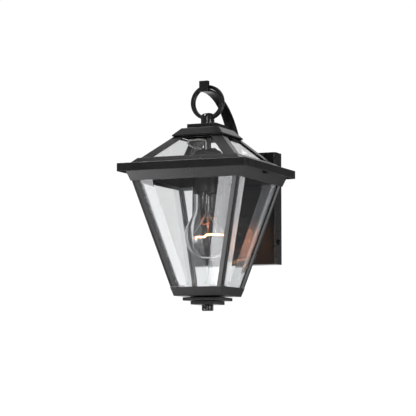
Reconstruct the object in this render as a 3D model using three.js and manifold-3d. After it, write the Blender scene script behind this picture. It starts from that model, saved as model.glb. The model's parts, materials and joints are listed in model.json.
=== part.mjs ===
// Outdoor wall lantern: a tapered four-sided glass cage under a glazed roof, held to a box-shaped
// wall plate and tied to it by a curved flat arm and a ring.
// Millimetres. The origin is on the wall, in the middle of the wall bracket's back face.
// +X is to the right, +Z is up, and the lantern stands out towards -Y.
import * as THREE from "three";
import { ConvexGeometry } from "three/addons/geometries/ConvexGeometry.js";
import { mergeVertices } from "three/addons/utils/BufferGeometryUtils.js";
import Module from "manifold-3d";

const wasm = await Module();
wasm.setup();

// ---- Clearances ----
const seam = 0.3; // between pieces that are fixed to each other
const slip = 0.6; // between pieces that slide past each other
const holeEase = 0.35; // all round a screw, stud or wire in its hole

// ---- Wall plate and bracket ----
const plateWidth = 121.4;
const plateHeight = 152.4;
const plateDepth = 22.9;
const plateEdge = 2.5; // radius of the front upright edges
const sheet = 1.5; // thickness of all folded sheet
const bracketHeight = 116;
const bracketSheet = 2;
const bracketFlange = 17;
const boxSlotSpacing = 84; // middle to middle of the two slots for the wall box
const boxSlotLength = 14;
const boxSlotWidth = 5;
const wireWindowWidth = 34;
const wireWindowHeight = 18;
const wireWindowRise = 26; // window's middle above the bracket's middle
const sideScrewOffset = 46; // side screws above and below the plate's middle
const sideScrewRadius = 2;
const sideScrewHead = 3.8;
const sideScrewHeadDepth = 2.6;
const sideScrewLength = 10;
const groundScrewRise = 18; // above the bracket's lower edge
const groundScrewHead = 4;
const armSlotDepth = 3; // the arm's slot reaches this far into the top of the plate

// ---- Eave and roof ----
const eaveHalf = 90;
const eaveBottom = 37.8; // lower edge of the eave above the plate's middle
const eaveHeight = 11;
const collarInset = 13.8; // inner flange that the cage fits round, in from the eave's edge
const collarDrop = 4.8; // how far the collar hangs below the eave
const bandInset = 12.3; // roof band's foot, in from the eave's edge
const bandHeight = 8; // the band leans in at 45 degrees
const hipStep = 3; // hips' foot, in from the band's top
const hipRise = 30.3;
const hipRun = 32.6;
const hipFlange = 16.5; // measured level, on each roof face
const crownHeight = 2;
const capLip = 1.9;
const capRise = 9.8;
const capRun = 9.4;
const topPlateHalf = 20.8;
const topPlateHeight = 5.6;
const roofGlass = 3;
const roofBoltShare = 0.5; // roof bolts stand this share of the way out to the eave's ends
const roofBoltHead = 3.2;
const roofBoltHeadDepth = 2.4;
const roofBoltEnd = 3; // thread past the nut
const eaveGap = 0.5; // between the eave's back and the wall plate's front

// ---- Knob, ring, end block and arm ----
const knobRadius = 9.15;
const knobHeight = 16.2;
const knobDome = 5;
const rodEntry = 4; // thread of the centre rod inside the knob
const ringOuter = 23.4;
const ringThickness = 4.8;
const ringDepth = 7.5;
const ringFoot = 6.9; // ring's lowest point above the top plate
const blockWidth = 12.7;
const blockHeight = 14.6;
const blockDepth = 6.3;
const blockDrop = 1; // block's lower face below the arm's underside
const blockForward = 8.2; // from the ring's middle plane to the block's back
const armThickness = 3.3;
const armFootWidth = 18.6;
const armFromWall = 12.8; // arm's middle line inside the wall plate
const armTuck = 16; // length of arm inside the wall plate

// ---- Cage ----
const cageInset = 14.8; // posts' outer corner at the rail's lower edge, in from the eave's edge
const cageBottomHalf = 37;
const cageHeight = 137.7;
const railHeight = 11.1; // shown below the eave
const railProud = 1.3; // rail stands out from the posts
const railFlare = 4.2;
const railHidden = 6; // part of the rail inside the eave
const postFlange = 9.5;
const paneThickness = 3.5;
const paneEdge = 1.6; // thickness left at the bevelled edge
const paneBevel = 14;
const panHeight = 11.6;
const panLip = 0.7; // pan stands out from the posts
const panTaper = 3.8;
const stepHalves = [25.1, 17.2];
const stepHeights = [4.6, 5];
const stepNeck = 1.3;
const finialRadius = 7.8;
const finialLength = 8;
const studRadius = 2.5;
const cageScrewRadius = 2;
const cageScrewHead = 3;
const cageScrewHeadDepth = 3.6;
const cageScrewRise = 1.2; // screws' axis above the eave's lower edge
const beadWidth = 1.6; // beads along the posts' corners
const beadHeight = 0.5;

// ---- Socket and lamp ----
const lampRadius = 30;
const lampNeckRadius = 14.6;
const lampLength = 98; // tip to the top of the glass neck
const lampTip = -72;
const lampWaist = 16.6; // radius of the long neck
const lampShoulder = 17.7; // length of straight neck below the cover
const lampWall = 0.8;
const lampBaseRadius = 12.9;
const lampBaseLength = 22;
const coverRadius = 19;
const coverBottom = 13.7; // the cover hides the top of the lamp's neck
const coverLength = 56;
const coverWall = 1;
const socketWall = 2.6;
const socketRoof = 5;
const shellWall = 0.5;
const rodRadius = 4.8;
const nutHeight = 3.2;
const nutAcross = 14;
const smallNutAcross = 7;
const finialNutAcross = 8;
const rodEnd = 1; // thread of the centre rod past its lowest nut
const stemRadius = 6;
const stemRod = 1.3;
const stemRodLength = 22;
const leadRadius = 0.45;
const filamentRadius = 0.7;
const filamentZ = -40;
const filamentHalf = 18.4;

// ---- Wires ----
const wireRadius = 1.2;
const wireSides = 8;
const wireInset = 3.5; // wire's middle to the inside of the socket cover
const wireSwing = 4; // the white wire comes up to the right of the centre rod
const bushRadius = 3.8;
const bushFlange = 1.6; // bushing's flange, past its tube
const capNutRadius = 5.4; // wire connector's mouth
const capNutLength = 19;
const plateWireSpread = 24; // connectors hang this far either side of the middle
const plateWireDrop = 46; // from the wires' level down to the connectors

// ---- Worked-out places ----
const axisY = -(plateDepth + eaveGap + eaveHalf);
const eaveTop = eaveBottom + eaveHeight;
const collarHalf = eaveHalf - collarInset;
const cageTopHalf = eaveHalf - cageInset;
const bandHalf = eaveHalf - bandInset;
const bandTopHalf = bandHalf - bandHeight;
const bandTop = eaveTop + bandHeight;
const hipHalf = bandTopHalf - hipStep;
const hipTopHalf = hipHalf - hipRun;
const hipTop = bandTop + hipRise;
const hipSlope = hipRun / hipRise;
const capBottom = hipTop + seam;
const capHalf = hipTopHalf + seam + sheet;
const capTop = capBottom + capLip + capRise;
const topPlateTop = capTop + topPlateHeight;
const ringZ = topPlateTop + ringFoot + ringOuter;
const ringMiddle = ringOuter - ringThickness / 2;
const ringInner = ringOuter - ringThickness;
// The arm's upper edges touch the inside of the ring.
const armUpperZ = ringZ + Math.sqrt(ringInner ** 2 - (blockWidth / 2) ** 2) - seam;
const armTopZ = armUpperZ - armThickness / 2; // middle line of the level run
const armRadius = -armFromWall - axisY;
const armCentreZ = armTopZ - armRadius;
const blockBottom = armTopZ - armThickness / 2 - blockDrop;
const blockBackY = axisY - blockForward;
const railBottom = eaveBottom - railHeight;
const postSlope = (cageTopHalf - cageBottomHalf) / cageHeight;
const panTop = railBottom - cageHeight;
const panBottom = panTop - panHeight;
const railSlope = railFlare / railHeight;
const railBottomHalf = cageTopHalf + railProud;
const collarBottom = eaveBottom - collarDrop;
const wirePair = wireRadius * 2 + slip; // between the two wires' middles
const wireZ = eaveTop - sheet - seam - bushRadius; // wires run just under the eave's top sheet
const roofBoltX = eaveHalf * roofBoltShare;
const groundScrewZ = groundScrewRise - bracketHeight / 2;
const skinLevel = sheet * 1.4; // the sloping roof sheet, measured level
const cageScrewZ = eaveBottom + cageScrewRise;
const lampTop = lampTip + lampLength;
const coverTop = coverBottom + coverLength;
const coverLid = coverTop - coverWall;

const group = new THREE.Group();
group.name = "outdoor_wall_lantern";

// ---- Finishes ----
const paint = { color: 0x1d1d1e, roughness: 0.38, metalness: 0.6 };
const polishedPaint = { color: 0x151515, roughness: 0.15, metalness: 0.6 };
const clearGlass = { color: 0xe8eef0, roughness: 0.03, metalness: 0, transparent: true, opacity: 0.3 };
const plated = { color: 0xb9bcc0, roughness: 0.35, metalness: 1 };
const brass = { color: 0xc9a24a, roughness: 0.3, metalness: 1 };
const porcelain = { color: 0xece8de, roughness: 0.3, metalness: 0 };
const blackWire = { color: 0x161616, roughness: 0.5, metalness: 0 };
const whiteWire = { color: 0xe6e4de, roughness: 0.5, metalness: 0 };
const greenWire = { color: 0x2c7a3c, roughness: 0.5, metalness: 0 };
const orangeCap = { color: 0xd66a1e, roughness: 0.5, metalness: 0 };
const hotWire = { color: 0xffb060, roughness: 0.5, metalness: 0, emissive: 0xff8a30 };

// ---- Shape helpers ----
// A closed geometry as a solid that can be joined and cut.
function solid(geometry) {
  const bare = geometry.clone();
  for (const name of Object.keys(bare.attributes)) {
    if (name !== "position") bare.deleteAttribute(name);
  }
  const merged = mergeVertices(bare, 1e-4);
  const triVerts = new Uint32Array(merged.index.array);
  const vertProperties = merged.attributes.position.array;
  return new wasm.Manifold(new wasm.Mesh({ numProp: 3, vertProperties, triVerts }));
}

function geometryOf(body) {
  const mesh = body.getMesh();
  const geometry = new THREE.BufferGeometry();
  geometry.setAttribute("position", new THREE.BufferAttribute(mesh.vertProperties, 3));
  geometry.setIndex(new THREE.BufferAttribute(mesh.triVerts, 1));
  return geometry;
}

function add(name, body, finish) {
  const mesh = new THREE.Mesh(geometryOf(body), new THREE.MeshStandardMaterial(finish));
  mesh.name = name;
  group.add(mesh);
  return mesh;
}

function box(lowX, highX, lowY, highY, lowZ, highZ) {
  const geometry = new THREE.BoxGeometry(highX - lowX, highY - lowY, highZ - lowZ);
  geometry.translate((lowX + highX) / 2, (lowY + highY) / 2, (lowZ + highZ) / 2);
  return solid(geometry);
}

// A square block on the lantern's axis that changes size from its lower to its upper end.
function frustum(lowHalf, lowZ, highHalf, highZ) {
  const height = highZ - lowZ;
  const geometry = new THREE.CylinderGeometry(highHalf * Math.SQRT2, lowHalf * Math.SQRT2, height, 4);
  geometry.rotateY(Math.PI / 4);
  geometry.rotateX(Math.PI / 2);
  geometry.translate(0, axisY, (lowZ + highZ) / 2);
  return solid(geometry);
}

// A square tube on the lantern's axis with an upright or leaning wall.
function band(lowHalf, lowZ, highHalf, highZ, wall) {
  const lean = (highHalf - lowHalf) / (highZ - lowZ);
  const core = frustum(lowHalf - wall - lean, lowZ - 1, highHalf - wall + lean, highZ + 1);
  return frustum(lowHalf, lowZ, highHalf, highZ).subtract(core);
}

function hull(points) {
  return solid(new ConvexGeometry(points.map((p) => new THREE.Vector3(...p))));
}

// A body turned from an outline of [radius, height] points, standing on any axis.
function turned(outline, x, y, z, segments = 24, lean = [0, 0, 1]) {
  const points = outline.map(([r, h]) => new THREE.Vector2(r, h));
  const geometry = new THREE.LatheGeometry(points, segments);
  const up = new THREE.Vector3(0, 1, 0);
  geometry.applyQuaternion(new THREE.Quaternion().setFromUnitVectors(up, new THREE.Vector3(...lean)));
  geometry.translate(x, y, z);
  return solid(geometry);
}

function rod(radius, start, length, lean, segments = 24) {
  return turned([[0, 0], [radius, 0], [radius, length], [0, length]], ...start, segments, lean);
}

function pipe(outer, inner, start, length, lean, segments = 24) {
  const outline = [[inner, 0], [outer, 0], [outer, length], [inner, length], [inner, 0]];
  return turned(outline, ...start, segments, lean);
}

function hexNut(across, bore, height, start, lean) {
  const body = rod(across / Math.sqrt(3), start, height, lean, 6);
  const core = rod(bore, start.map((v, i) => v - lean[i]), height + 2, lean, 16);
  return body.subtract(core);
}

// A copy turned about the lantern's upright axis by quarter turns.
function quarter(body, turns) {
  const geometry = geometryOf(body);
  geometry.translate(0, -axisY, 0);
  geometry.rotateZ((turns * Math.PI) / 2);
  geometry.translate(0, axisY, 0);
  return solid(geometry);
}

function wireAlong(points, radius = wireRadius, step = 3) {
  const path = new THREE.CatmullRomCurve3(points.map((p) => new THREE.Vector3(...p)), false, "centripetal");
  const section = new THREE.Shape();
  section.absarc(0, 0, radius, 0, Math.PI * 2);
  const steps = Math.round(path.getLength() / step);
  const geometry = new THREE.ExtrudeGeometry(section, {
    extrudePath: path,
    steps,
    curveSegments: wireSides / 2,
    bevelEnabled: false,
  });
  return solid(geometry);
}

// The arm's middle line at a given height.
function armYAt(z) {
  return axisY + Math.sqrt(armRadius ** 2 - (z - armCentreZ) ** 2);
}

// ---- Wall plate: an open-backed box ----
{
  const half = plateWidth / 2;
  const profile = new THREE.Shape();
  profile.moveTo(-half, 0);
  profile.lineTo(-half, -plateDepth + plateEdge);
  profile.absarc(-half + plateEdge, -plateDepth + plateEdge, plateEdge, Math.PI, 1.5 * Math.PI);
  profile.absarc(half - plateEdge, -plateDepth + plateEdge, plateEdge, 1.5 * Math.PI, 2 * Math.PI);
  profile.lineTo(half, 0);
  profile.closePath();
  const settings = { depth: plateHeight, bevelEnabled: false, curveSegments: 4 };
  const outer = new THREE.ExtrudeGeometry(profile, settings);
  outer.translate(0, 0, -plateHeight / 2);
  const insideHalf = plateHeight / 2 - sheet;
  const inside = box(-half + sheet, half - sheet, -plateDepth + sheet, 1, -insideHalf, insideHalf);
  let plate = solid(outer).subtract(inside);
  const slotHalf = armFootWidth / 2 + seam;
  const slotDepth = armThickness / 2 + seam;
  const slotFront = armYAt(plateHeight / 2) - slotDepth;
  const slotBack = -armFromWall + slotDepth;
  const slotLow = plateHeight / 2 - armSlotDepth;
  plate = plate.subtract(box(-slotHalf, slotHalf, slotFront, slotBack, slotLow, plateHeight / 2 + 1));
  plate = plate.subtract(rod(bushRadius + seam, [0, -plateDepth - 1, wireZ], sheet + 2, [0, 1, 0]));
  for (const side of [-1, 1]) {
    const boltStart = [side * roofBoltX, -plateDepth - 1, wireZ];
    plate = plate.subtract(rod(sideScrewRadius + holeEase, boltStart, sheet + 2, [0, 1, 0]));
    for (const rise of [-sideScrewOffset, sideScrewOffset]) {
      const start = [side * (half + 1), -plateDepth / 2, rise];
      plate = plate.subtract(rod(sideScrewRadius + holeEase, start, sheet + 2, [-side, 0, 0]));
    }
  }
  add("wall_plate", plate, paint);
}

// ---- Wall bracket: a plate on the wall box with a flange each side for the side screws ----
const bracketHalf = plateWidth / 2 - sheet - seam;
{
  const low = -bracketHeight / 2;
  const high = bracketHeight / 2;
  let bracket = box(-bracketHalf, bracketHalf, -bracketSheet, 0, low, high);
  for (const side of [-1, 1]) {
    const inner = side * (bracketHalf - bracketSheet);
    const outer = side * bracketHalf;
    const flangeLow = Math.min(inner, outer);
    bracket = bracket.add(box(flangeLow, flangeLow + bracketSheet, -bracketFlange, 0, low, high));
    for (const rise of [-sideScrewOffset, sideScrewOffset]) {
      const start = [side * (bracketHalf + 1), -plateDepth / 2, rise];
      bracket = bracket.subtract(rod(sideScrewRadius + holeEase, start, bracketSheet + 2, [-side, 0, 0]));
    }
    const slotX = (side * boxSlotSpacing) / 2;
    const slotLow = slotX - boxSlotLength / 2;
    const slotHigh = slotX + boxSlotLength / 2;
    bracket = bracket.subtract(box(slotLow, slotHigh, -3, 1, -boxSlotWidth / 2, boxSlotWidth / 2));
  }
  const windowLow = wireWindowRise - wireWindowHeight / 2;
  bracket = bracket.subtract(
    box(-wireWindowWidth / 2, wireWindowWidth / 2, -3, 1, windowLow, windowLow + wireWindowHeight),
  );
  const groundStart = [0, -bracketSheet - 1, groundScrewZ];
  bracket = bracket.subtract(rod(sideScrewRadius + holeEase, groundStart, bracketSheet + 2, [0, 1, 0], 12));
  add("wall_bracket", bracket, plated);
}

// ---- Side screws that hold the wall plate to the bracket ----
for (const [side, sideName] of [[-1, "left"], [1, "right"]]) {
  for (const [rise, riseName] of [[-sideScrewOffset, "lower"], [sideScrewOffset, "upper"]]) {
    const start = [side * (plateWidth / 2 + seam), -plateDepth / 2, rise];
    const head = turned(
      [[0, 0], [sideScrewHead, 0], [sideScrewHead, sideScrewHeadDepth * 0.6],
        [sideScrewHead * 0.72, sideScrewHeadDepth], [0, sideScrewHeadDepth]],
      ...start, 20, [side, 0, 0],
    );
    const shankStart = [start[0] + side, start[1], start[2]];
    const shank = rod(sideScrewRadius, shankStart, sideScrewLength, [-side, 0, 0], 12);
    add("plate_screw_" + riseName + "_" + sideName, head.add(shank), paint);
  }
}

// ---- Ground screw on the bracket ----
{
  const start = [0, -bracketSheet - seam, groundScrewZ];
  const outline = [
    [0, 0], [groundScrewHead, 0], [groundScrewHead, 1.4], [groundScrewHead * 0.65, 2.4], [0, 2.4],
  ];
  const head = turned(outline, ...start, 16, [0, -1, 0]);
  const shank = rod(sideScrewRadius, [0, start[1] - 1, start[2]], 1 + bracketSheet + seam, [0, 1, 0], 12);
  add("ground_screw", head.add(shank), greenWire);
}

// ---- Eave: folded sheet with an upright fascia, a flat top and the collar for the cage ----
{
  let eave = band(eaveHalf, eaveBottom, eaveHalf, eaveTop, sheet);
  const roofOpening = bandTopHalf - sheet - 1;
  const top = frustum(eaveHalf, eaveTop - sheet, eaveHalf, eaveTop);
  eave = eave.add(top.subtract(frustum(roofOpening, eaveTop - sheet - 1, roofOpening, eaveTop + 1)));
  eave = eave.add(band(collarHalf, collarBottom, collarHalf, eaveTop - sheet / 2, sheet));
  for (const wall of [eaveHalf, collarHalf]) {
    const wireStart = [0, axisY + wall + 1, wireZ];
    eave = eave.subtract(rod(bushRadius + seam, wireStart, sheet + 2, [0, -1, 0], 20));
  }
  for (const side of [-1, 1]) {
    const boltStart = [side * roofBoltX, axisY + eaveHalf + 1, wireZ];
    eave = eave.subtract(rod(sideScrewRadius + holeEase, boltStart, sheet + 2, [0, -1, 0]));
    const slot = cageScrewRadius + slip;
    const wall = side * (collarHalf - sheet / 2);
    eave = eave.subtract(
      box(wall - sheet, wall + sheet, axisY - slot, axisY + slot, collarBottom - 1, cageScrewZ),
    );
    eave = eave.subtract(rod(slot, [wall - side * sheet, axisY, cageScrewZ], 2 * sheet, [side, 0, 0], 20));
  }
  add("eave_frame", eave, paint);
}

// ---- Bolts, nuts and bushing between the eave and the wall plate ----
for (const [side, name] of [[-1, "left"], [1, "right"]]) {
  const x = side * roofBoltX;
  const inside = axisY + eaveHalf - sheet - seam;
  const head = rod(roofBoltHead, [x, inside, wireZ], roofBoltHeadDepth, [0, -1, 0], 16);
  const boltLength = sheet * 2 + seam * 2 + eaveGap + nutHeight + roofBoltEnd;
  const shank = rod(sideScrewRadius, [x, inside - 1, wireZ], boltLength + 1, [0, 1, 0], 12);
  add("roof_bolt_" + name, head.add(shank), plated);
  const nutStart = [x, -plateDepth + sheet + seam, wireZ];
  const nut = hexNut(smallNutAcross, sideScrewRadius + seam, nutHeight, nutStart, [0, 1, 0]);
  add("roof_bolt_nut_" + name, nut, plated);
}
{
  const start = -plateDepth + sheet + seam;
  const length = start - (axisY + eaveHalf - sheet - 1);
  const bore = wirePair / 2 + wireRadius + seam;
  const tube = pipe(bushRadius, bore, [0, start - 0.5, wireZ], length, [0, -1, 0], 20);
  const flange = pipe(bushRadius + bushFlange, bore, [0, start, wireZ], 1.2, [0, 1, 0], 20);
  const join = pipe(bushRadius, bore, [0, start - 1, wireZ], 1.6, [0, 1, 0], 20);
  add("wire_bushing", tube.add(flange).add(join), blackWire);
}

// ---- Roof frame: leaning band, ledge and four hip angles in one ----
{
  const hipLow = bandTop - sheet;
  const lowHalf = hipHalf + hipSlope * sheet;
  let roof = band(bandHalf, eaveTop + seam, bandTopHalf, bandTop, sheet * Math.SQRT2);
  const ledge = frustum(bandTopHalf, hipLow, bandTopHalf, bandTop);
  const opening = hipHalf - hipFlange * 0.75;
  roof = roof.add(ledge.subtract(frustum(opening, hipLow - 1, opening, bandTop + 1)));
  const halfAt = (z) => hipTopHalf + (hipTop - z) * hipSlope;
  const wide = (z) => Math.max(halfAt(z) - hipFlange, 1);
  let hips = band(lowHalf, hipLow, hipTopHalf, hipTop, skinLevel);
  for (const turns of [0, 1]) {
    const low = hipLow - 1;
    const high = hipTop + 1;
    const points = [];
    for (const z of [low, high]) {
      for (const x of [-wide(z), wide(z)]) {
        points.push([x, axisY - eaveHalf, z]);
        points.push([x, axisY + eaveHalf, z]);
      }
    }
    hips = hips.subtract(quarter(hull(points), turns));
  }
  const crownLow = hipTop - crownHeight;
  const crown = band(halfAt(crownLow), crownLow, hipTopHalf, hipTop, skinLevel);
  add("roof_frame", roof.add(hips).add(crown), paint);
}

// ---- Roof panes: four trapezoids under the hips ----
{
  const back = skinLevel + seam; // level distance from the hips' outer face
  const low = bandTop + seam;
  const high = hipTop - seam;
  const halfAt = (z) => hipTopHalf + (hipTop - z) * hipSlope;
  const level = roofGlass * Math.sqrt(1 + hipSlope * hipSlope) / hipSlope / 1.4;
  const points = [];
  for (const z of [low, high]) {
    const face = halfAt(z) - back;
    const edge = face - level - seam * 1.5;
    for (const x of [-edge, edge]) {
      points.push([x, axisY - face, z]);
      points.push([x, axisY - face + level, z]);
    }
  }
  const pane = hull(points);
  ["front", "right", "back", "left"].forEach((name, turns) => {
    add("roof_pane_" + name, quarter(pane, turns), clearGlass);
  });
}

// ---- Roof cap, top plate, knob, and the nut that draws them together ----
{
  const outer = frustum(capHalf, capBottom, capHalf, capBottom + capLip)
    .add(frustum(capHalf, capBottom + capLip, capHalf - capRun, capTop));
  const inner = frustum(capHalf - sheet, capBottom - 1, capHalf - sheet, capBottom + capLip)
    .add(frustum(capHalf - sheet, capBottom + capLip - 0.01, capHalf - capRun - sheet, capTop - sheet));
  const hole = rod(rodRadius + holeEase, [0, axisY, capTop - sheet - 1], sheet + 2, [0, 0, 1]);
  add("roof_cap", outer.subtract(inner).subtract(hole), paint);
  const topPlate = frustum(topPlateHalf, capTop + seam, topPlateHalf, topPlateTop);
  const through = rod(rodRadius + holeEase, [0, axisY, capTop - 1], topPlateHeight + 2, [0, 0, 1]);
  add("top_plate", topPlate.subtract(through), paint);
  const nutZ = capTop - sheet - seam - nutHeight;
  add("cap_nut", hexNut(nutAcross, rodRadius + seam, nutHeight, [0, axisY, nutZ], [0, 0, 1]), plated);
}

// ---- Ring: a flat band bent to a circle, with softened edges ----
function ringOutline(extra) {
  const r0 = ringMiddle - ringThickness / 2 - extra;
  const r1 = ringMiddle + ringThickness / 2 + extra;
  const h = ringDepth / 2 + extra;
  const soft = 1;
  return [
    [r0, -h + soft], [r0 + soft, -h], [r1 - soft, -h], [r1, -h + soft],
    [r1, h - soft], [r1 - soft, h], [r0 + soft, h], [r0, h - soft], [r0, -h + soft],
  ];
}
const ringAt = [0, axisY, ringZ];
add("ring", turned(ringOutline(0), ...ringAt, 48, [0, -1, 0]), paint);
const ringRoom = turned(ringOutline(seam), ...ringAt, 48, [0, -1, 0]);

// ---- Knob: turned, with a domed shoulder, a slot for the ring and a thread for the centre rod ----
{
  const low = topPlateTop + seam;
  const top = topPlateTop + knobHeight;
  const outline = [[0, 0], [knobRadius, 0]];
  for (let i = 0; i <= 5; i++) {
    const a = (i / 5) * (Math.PI / 2);
    const inset = knobRadius - knobDome;
    outline.push([inset + knobDome * Math.cos(a), top - low - knobDome + knobDome * Math.sin(a)]);
  }
  outline.push([0, top - low]);
  const threadHole = rod(rodRadius + seam, [0, axisY, low - 1], rodEntry + 1, [0, 0, 1]);
  add("knob", turned(outline, 0, axisY, low, 28).subtract(ringRoom).subtract(threadHole), polishedPaint);
}

// ---- Arm: a flat strap through the ring, with a block standing up on its end ----
{
  const block = box(
    -blockWidth / 2, blockWidth / 2, blockBackY - blockDepth, blockBackY,
    blockBottom, blockBottom + blockHeight,
  );
  add("arm_end_block", block, paint);
  const shape = new THREE.Shape();
  const outer = armRadius + armThickness / 2;
  const inner = armRadius - armThickness / 2;
  const footAngle = Math.asin((plateHeight / 2 - armTuck - armCentreZ) / armRadius);
  const level = axisY - blockBackY - seam;
  shape.absarc(0, 0, outer, footAngle, Math.PI / 2, false);
  shape.lineTo(-level, outer);
  shape.lineTo(-level, inner);
  shape.absarc(0, 0, inner, Math.PI / 2, footAngle, true);
  shape.closePath();
  const settings = { depth: armFootWidth, bevelEnabled: false, curveSegments: 24 };
  const geometry = new THREE.ExtrudeGeometry(shape, settings);
  geometry.translate(0, 0, -armFootWidth / 2);
  geometry.rotateX(Math.PI / 2);
  geometry.rotateZ(Math.PI / 2);
  geometry.translate(0, axisY, armCentreZ);
  // The arm narrows from the wall plate up to the block, and its foot is trimmed behind the plate's front.
  const footLow = plateHeight / 2 - armTuck - 2;
  const taper = [];
  for (const [z, halfWidth] of [
    [footLow, armFootWidth / 2],
    [plateHeight / 2, armFootWidth / 2],
    [armTopZ, blockWidth / 2],
    [armTopZ + armThickness, blockWidth / 2],
  ]) {
    for (const x of [-halfWidth, halfWidth]) taper.push([x, blockBackY, z], [x, 0, z]);
  }
  const behindPlate = -plateDepth + sheet + seam;
  const trim = box(-armFootWidth, armFootWidth, blockBackY, behindPlate, footLow, plateHeight / 2);
  add("arm", solid(geometry).intersect(hull(taper)).subtract(trim), paint);
}

// ---- Cage: rail, posts, panes, pan, steps and finial ----
const railTop = eaveBottom + railHidden;
const railTopHalf = railBottomHalf + (railTop - railBottom) * railSlope;
{
  let rail = band(railBottomHalf, railBottom, railTopHalf, railTop, railProud - seam);
  // The back of the rail is cut away round the wires, the bolt heads and their nuts.
  const notchHalf = roofBoltX + roofBoltHead * 3;
  const notchLow = wireZ - bushRadius - 1;
  rail = rail.subtract(
    box(-notchHalf, notchHalf, axisY + collarHalf + 1, axisY + eaveHalf, notchLow, railTop + 1),
  );
  for (const side of [-1, 1]) {
    const holeStart = [side * (railBottomHalf - 3), axisY, cageScrewZ];
    rail = rail.subtract(rod(cageScrewRadius + holeEase, holeStart, 14, [side, 0, 0], 16));
  }
  add("cage_rail", rail, paint);
}

const cageHalfAt = (z) => cageBottomHalf + (z - panTop) * postSlope;
const postTop = railBottom + railHeight * 0.35;
{
  const length = postTop - panTop - seam;
  const angle = new THREE.Shape();
  const bead = beadWidth;
  const raise = beadHeight;
  angle.moveTo(0, 0);
  angle.lineTo(-bead, 0);
  angle.lineTo(-bead, raise);
  angle.lineTo(-bead * 2, raise);
  angle.lineTo(-bead * 2, 0);
  angle.lineTo(-bead * 2.4, raise);
  angle.lineTo(-postFlange, raise);
  angle.lineTo(-postFlange, raise + sheet);
  angle.lineTo(-sheet - raise, raise + sheet);
  angle.lineTo(-sheet - raise, postFlange);
  angle.lineTo(-raise, postFlange);
  angle.lineTo(-raise, bead * 2.4);
  angle.lineTo(0, bead * 2);
  angle.lineTo(-raise, bead * 2);
  angle.lineTo(-raise, bead);
  angle.lineTo(0, bead);
  angle.closePath();
  const geometry = new THREE.ExtrudeGeometry(angle, { depth: length, bevelEnabled: false });
  const place = geometry.attributes.position;
  for (let i = 0; i < place.count; i++) {
    const z = panTop + seam + place.getZ(i);
    const half = cageHalfAt(z);
    place.setXYZ(i, place.getX(i) + half, place.getY(i) + axisY - half, z);
  }
  const post = solid(geometry);
  ["front_right", "back_right", "back_left", "front_left"].forEach((name, turns) => {
    add("post_" + name, quarter(post, turns), paint);
  });
}

{
  const back = beadHeight + sheet + seam; // level distance from the posts' outer face
  const low = panBottom + sheet + seam;
  const high = postTop;
  const depth = paneThickness * Math.sqrt(1 + postSlope * postSlope);
  const edgeDepth = paneEdge * Math.sqrt(1 + postSlope * postSlope);
  const points = [];
  for (const z of [low, high]) {
    const face = cageHalfAt(z) - back;
    const edge = face - depth - seam;
    for (const x of [-edge, edge]) {
      points.push([x, axisY - face + depth - edgeDepth, z]);
      points.push([x, axisY - face + depth, z]);
    }
  }
  for (const z of [low + paneBevel, high - paneBevel]) {
    const face = cageHalfAt(z) - back;
    const edge = face - depth - seam - paneBevel;
    for (const x of [-edge, edge]) points.push([x, axisY - face, z]);
  }
  const pane = hull(points);
  ["front", "right", "back", "left"].forEach((name, turns) => {
    add("pane_" + name, quarter(pane, turns), clearGlass);
  });
}

{
  const topHalf = cageBottomHalf + panLip;
  const bottomHalf = topHalf - panTaper;
  const outer = frustum(bottomHalf, panBottom, topHalf, panTop);
  const floorZ = panBottom + sheet;
  const slope = panTaper / panHeight;
  const inner = frustum(
    bottomHalf - sheet + sheet * slope, floorZ,
    topHalf - sheet + slope, panTop + 1,
  );
  const hole = rod(studRadius + holeEase, [0, axisY, panBottom - 1], sheet + 2, [0, 0, 1], 16);
  add("cage_pan", outer.subtract(inner).subtract(hole), paint);
  let z = panBottom - seam;
  stepHalves.forEach((half, i) => {
    const neck = i === 0 ? stepNeck : 0;
    const low = z - neck - stepHeights[i] + seam;
    let plate = frustum(half, low, half, z - neck);
    if (neck) plate = plate.add(frustum(half * 0.7, z - neck - 1, half * 0.7, z));
    const length = stepHeights[i] + neck + 3;
    const through = rod(studRadius + holeEase, [0, axisY, low - 1], length, [0, 0, 1], 16);
    add("step_plate_" + (i + 1), plate.subtract(through), paint);
    z = low - seam;
  });
  const outline = [
    [0, 0], [finialRadius, 0], [finialRadius, finialLength - 1],
    [finialRadius - 1, finialLength], [0, finialLength],
  ];
  const finial = turned(outline, 0, axisY, z, 28, [0, 0, -1]);
  const studTop = panBottom + sheet + nutHeight + 2.5;
  const stud = rod(studRadius, [0, axisY, z - 1], studTop - z + 1, [0, 0, 1], 16);
  add("finial", finial.add(stud), polishedPaint);
  const nutStart = [0, axisY, panBottom + sheet + seam];
  const nut = hexNut(finialNutAcross, studRadius + seam, nutHeight, nutStart, [0, 0, 1]);
  add("finial_nut", nut, plated);
}

// ---- Cage screws: loosened by hand, they let the cage drop out of the collar's open slots ----
for (const [side, name] of [[-1, "left"], [1, "right"]]) {
  const outside = railBottomHalf + (cageScrewZ - railBottom + cageScrewHead) * railSlope + seam;
  const start = [side * outside, axisY, cageScrewZ];
  const head = rod(cageScrewHead, start, cageScrewHeadDepth, [side, 0, 0], 18);
  const reach = outside - (collarHalf - sheet - 2);
  const shank = rod(cageScrewRadius, [start[0] + side, axisY, cageScrewZ], reach + 1, [-side, 0, 0], 12);
  add("cage_screw_" + name, head.add(shank), paint);
}

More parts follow.
